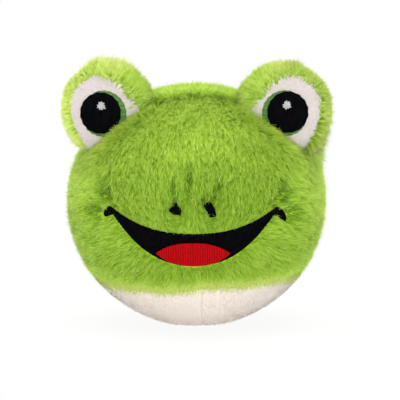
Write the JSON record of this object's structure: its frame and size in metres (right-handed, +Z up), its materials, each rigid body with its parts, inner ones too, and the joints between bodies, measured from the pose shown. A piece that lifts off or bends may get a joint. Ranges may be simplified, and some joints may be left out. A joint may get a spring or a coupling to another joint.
{
  "type": "plush frog head ball",
  "caption": "Stuffed plush ball with a smiling frog face, two soft eye lobes that bend, stitched mouth, tongue and nostrils, and a squeaker inside.",
  "frame": {"origin": "on the floor under the middle of the toy, at the bottom centre of its bounding box", "axes": "+Z up through the crown, the face looks along -Y, and +X is to the right as seen from the front"},
  "size_m": [0.1068, 0.1018, 0.106],
  "materials": {
    "green_plush": "long, soft, matt green pile",
    "white_plush": "short, smooth, warm white pile",
    "fibre_filling": "loose white polyester fibre",
    "black_thread": "black satin stitching",
    "red_thread": "red satin stitching in upright rows",
    "green_thread": "green satin stitching",
    "white_thread": "white satin stitching",
    "squeaker_plastic": "thin, cloudy, soft plastic"
  },
  "bodies": {
    "ball": {"face_panel": "green_plush", "back_panel_left": "green_plush", "back_panel_right": "green_plush", "belly_panel_left": "white_plush", "belly_panel_right": "white_plush", "filling_front": "fibre_filling", "filling_back": "fibre_filling", "squeaker_bulb": "squeaker_plastic", "squeaker_reed": "squeaker_plastic", "mouth": "black_thread", "tongue": "red_thread", "left_nostril": "black_thread", "right_nostril": "black_thread"},
    "left_eye": {"left_eye_back": "green_plush", "left_eye_patch": "white_plush", "left_eye_filling": "fibre_filling", "left_iris": "green_thread", "left_pupil": "black_thread", "left_highlight": "white_thread"},
    "right_eye": {"right_eye_back": "green_plush", "right_eye_patch": "white_plush", "right_eye_filling": "fibre_filling", "right_iris": "green_thread", "right_pupil": "black_thread", "right_highlight": "white_thread"}
  },
  "joints": [
    {"name": "left_eye_bend", "type": "hinge", "parent": "ball", "child": "left_eye", "pos_m": [-0.02999, -0.01289, 0.0811], "axis": [0.809, 0, 0.5878], "range_deg": [-12, 12], "stiffness_Nm_per_rad": 0.03},
    {"name": "right_eye_bend", "type": "hinge", "parent": "ball", "child": "right_eye", "pos_m": [0.02999, -0.01289, 0.0811], "axis": [0.809, 0, -0.5878], "range_deg": [-12, 12], "stiffness_Nm_per_rad": 0.03}
  ]
}
